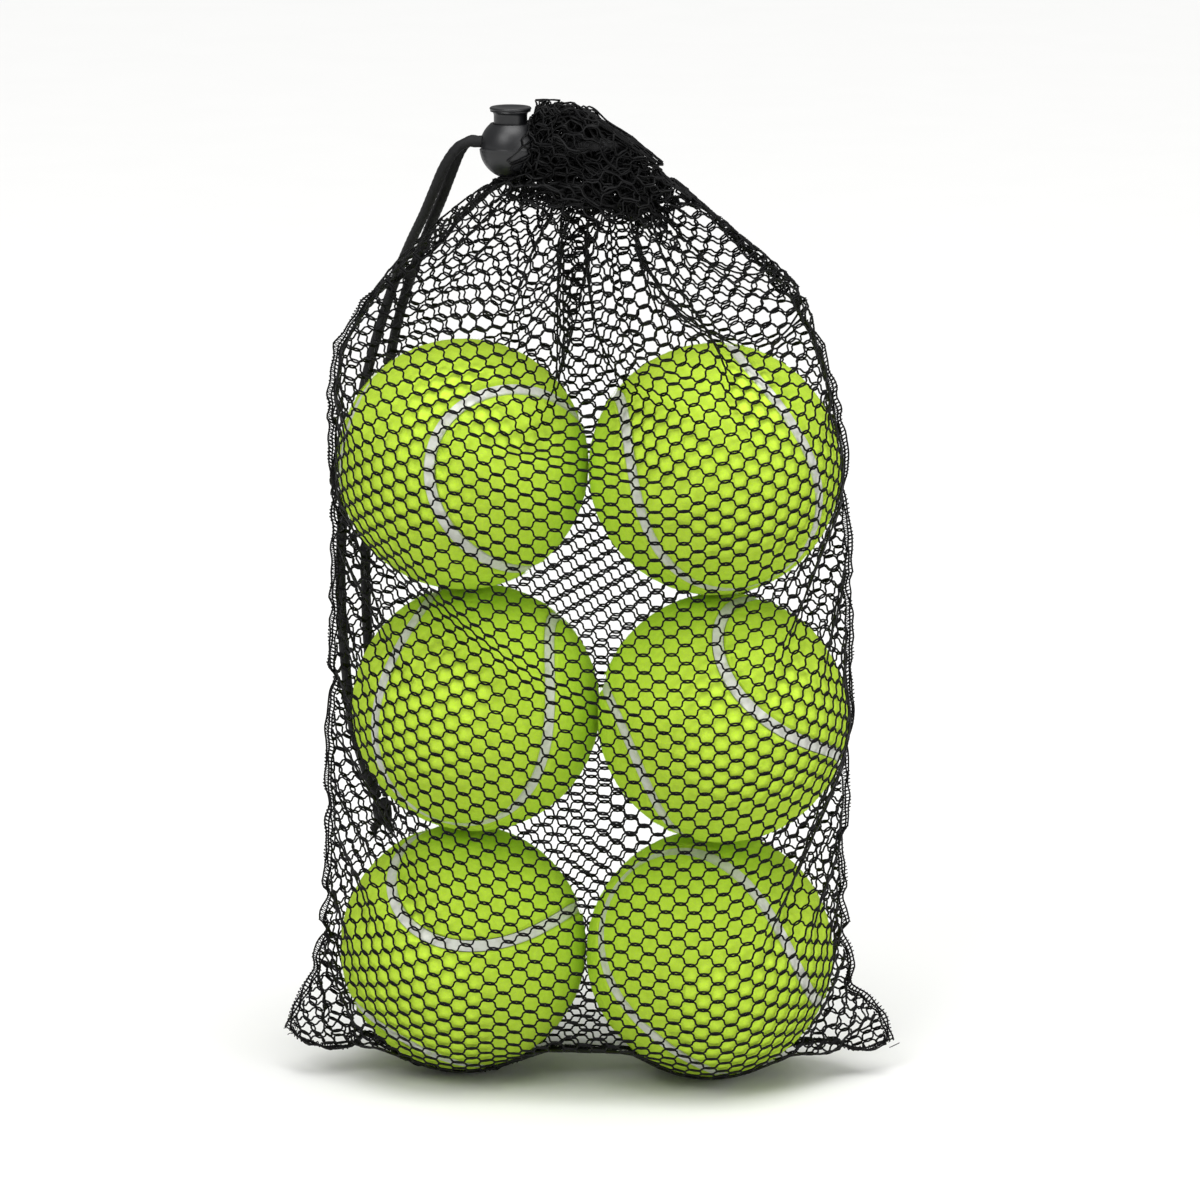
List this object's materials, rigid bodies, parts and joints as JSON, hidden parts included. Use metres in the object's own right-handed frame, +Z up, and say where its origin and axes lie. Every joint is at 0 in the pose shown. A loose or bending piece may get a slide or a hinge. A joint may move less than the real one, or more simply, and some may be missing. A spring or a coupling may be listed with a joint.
{
  "type": "mesh ball bag",
  "caption": "Net drawstring bag filled with tennis balls, closed by a braided drawcord through a ball-shaped spring cord lock.",
  "frame": {"origin": "middle of the bottom seam, on the surface that the bag stands on", "axes": "+Z up through the neck, +Y to the back, +X to the right seen from the front; the cord lock is on the -X side"},
  "size_m": [0.1662, 0.0841, 0.2646],
  "materials": {
    "net": "black warp-knitted polyester net with hexagonal holes",
    "seam_thread": "black overlocked seam",
    "cord": "black braided polyester cord",
    "lock_plastic": "charcoal moulded plastic",
    "spring_steel": "drawn spring wire",
    "felt": "optic yellow needled felt",
    "ball_seam": "matt grey vulcanised seam",
    "core_rubber": "moulded dark rubber"
  },
  "bodies": {
    "bag": {"net_front_panel": "net", "net_back_panel": "net", "side_seam_left": "seam_thread", "side_seam_right": "seam_thread", "bottom_seam": "seam_thread", "mouth_hem": "net", "drawcord_loop": "cord"},
    "cord_lock": {"lock_housing": "lock_plastic", "cord_tail_a": "cord", "cord_tail_b": "cord", "tail_knot": "cord", "lock_spring": "spring_steel"},
    "lock_button_body": {"lock_button": "lock_plastic"},
    "ball_bottom_left": {"ball_bottom_left_core_half_a": "core_rubber", "ball_bottom_left_core_half_b": "core_rubber", "ball_bottom_left_felt_panel_a": "felt", "ball_bottom_left_felt_panel_b": "felt", "ball_bottom_left_seam": "ball_seam"},
    "ball_bottom_right": {"ball_bottom_right_core_half_a": "core_rubber", "ball_bottom_right_core_half_b": "core_rubber", "ball_bottom_right_felt_panel_a": "felt", "ball_bottom_right_felt_panel_b": "felt", "ball_bottom_right_seam": "ball_seam"},
    "ball_middle_left": {"ball_middle_left_core_half_a": "core_rubber", "ball_middle_left_core_half_b": "core_rubber", "ball_middle_left_felt_panel_a": "felt", "ball_middle_left_felt_panel_b": "felt", "ball_middle_left_seam": "ball_seam"},
    "ball_middle_right": {"ball_middle_right_core_half_a": "core_rubber", "ball_middle_right_core_half_b": "core_rubber", "ball_middle_right_felt_panel_a": "felt", "ball_middle_right_felt_panel_b": "felt", "ball_middle_right_seam": "ball_seam"},
    "ball_top_left": {"ball_top_left_core_half_a": "core_rubber", "ball_top_left_core_half_b": "core_rubber", "ball_top_left_felt_panel_a": "felt", "ball_top_left_felt_panel_b": "felt", "ball_top_left_seam": "ball_seam"},
    "ball_top_right": {"ball_top_right_core_half_a": "core_rubber", "ball_top_right_core_half_b": "core_rubber", "ball_top_right_felt_panel_a": "felt", "ball_top_right_felt_panel_b": "felt", "ball_top_right_seam": "ball_seam"}
  },
  "joints": [
    {"name": "ball_bottom_left_spin", "type": "hinge", "parent": "bag", "child": "ball_bottom_left", "pos_m": [-0.03472, 0.0049, 0.0346], "axis": [0, 0, 1], "continuous": true},
    {"name": "ball_bottom_right_spin", "type": "hinge", "parent": "bag", "child": "ball_bottom_right", "pos_m": [0.03152, -0.0009, 0.0346], "axis": [0, 0, 1], "continuous": true},
    {"name": "ball_middle_left_spin", "type": "hinge", "parent": "bag", "child": "ball_middle_left", "pos_m": [-0.03094, 0.00477, 0.1011], "axis": [0, 0, 1], "continuous": true},
    {"name": "ball_middle_right_spin", "type": "hinge", "parent": "bag", "child": "ball_middle_right", "pos_m": [0.03454, -0.00677, 0.1011], "axis": [0, 0, 1], "continuous": true},
    {"name": "ball_top_left_spin", "type": "hinge", "parent": "bag", "child": "ball_top_left", "pos_m": [-0.03397, 0.00248, 0.1676], "axis": [0, 0, 1], "continuous": true},
    {"name": "ball_top_right_spin", "type": "hinge", "parent": "bag", "child": "ball_top_right", "pos_m": [0.03217, -0.00448, 0.1676], "axis": [0, 0, 1], "continuous": true},
    {"name": "cord_lock_slide", "type": "slide", "parent": "bag", "child": "cord_lock", "axis": [-1, 0, 0], "range_m": [0, 0.014]},
    {"name": "lock_button_press", "type": "slide", "parent": "cord_lock", "child": "lock_button_body", "axis": [0, 0, -1], "range_m": [0, 0.003], "stiffness_N_per_m": 900, "springref_m": -0.003, "deforming": ["lock_spring"]}
  ]
}
